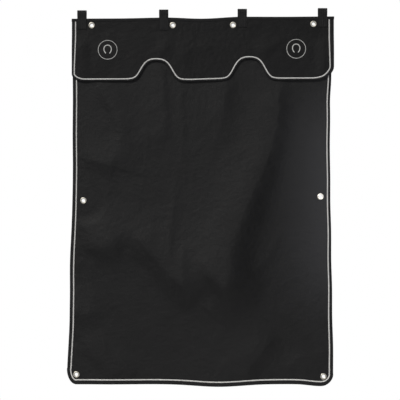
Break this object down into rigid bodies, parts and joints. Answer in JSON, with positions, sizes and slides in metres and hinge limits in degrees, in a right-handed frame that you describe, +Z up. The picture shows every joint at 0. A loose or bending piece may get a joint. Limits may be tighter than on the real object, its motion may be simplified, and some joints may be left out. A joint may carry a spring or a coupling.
{
  "type": "stable curtain",
  "caption": "Stall curtain of woven cloth with an arched valance, bound and piped edges, webbing tabs along the top and eyelets at its edges.",
  "frame": {"origin": "middle of the line on which the top edge hangs, in the plane of the heading strip", "axes": "+Z up along the drop; the front faces -Y, so +Y points behind the curtain; +X to the right as seen from the front"},
  "size_m": [1.4146, 0.0671, 2.0044],
  "materials": {
    "black_cloth": "plain woven polyester, matt with a slight sheen",
    "black_tape": "woven binding tape, matt",
    "black_webbing": "woven webbing, matt",
    "grey_piping": "light grey corded piping, satin",
    "nickel": "nickel plated, polished"
  },
  "bodies": {
    "root": {"eyelet_1": "nickel", "eyelet_2": "nickel", "eyelet_3": "nickel", "eyelet_4": "nickel", "eyelet_5": "nickel", "eyelet_6": "nickel", "eyelet_7": "nickel", "eyelet_8": "nickel", "heading_strip": "black_cloth", "main_panel": "black_cloth", "panel_binding": "black_tape", "panel_piping": "grey_piping", "tab_1": "black_webbing", "tab_2": "black_webbing", "tab_3": "black_webbing", "tab_4": "black_webbing", "top_binding": "black_tape", "valance": "black_cloth", "valance_binding": "black_tape", "valance_piping": "grey_piping", "washer_1": "nickel", "washer_2": "nickel", "washer_3": "nickel", "washer_4": "nickel", "washer_5": "nickel", "washer_6": "nickel", "washer_7": "nickel", "washer_8": "nickel"}
  },
  "joints": []
}
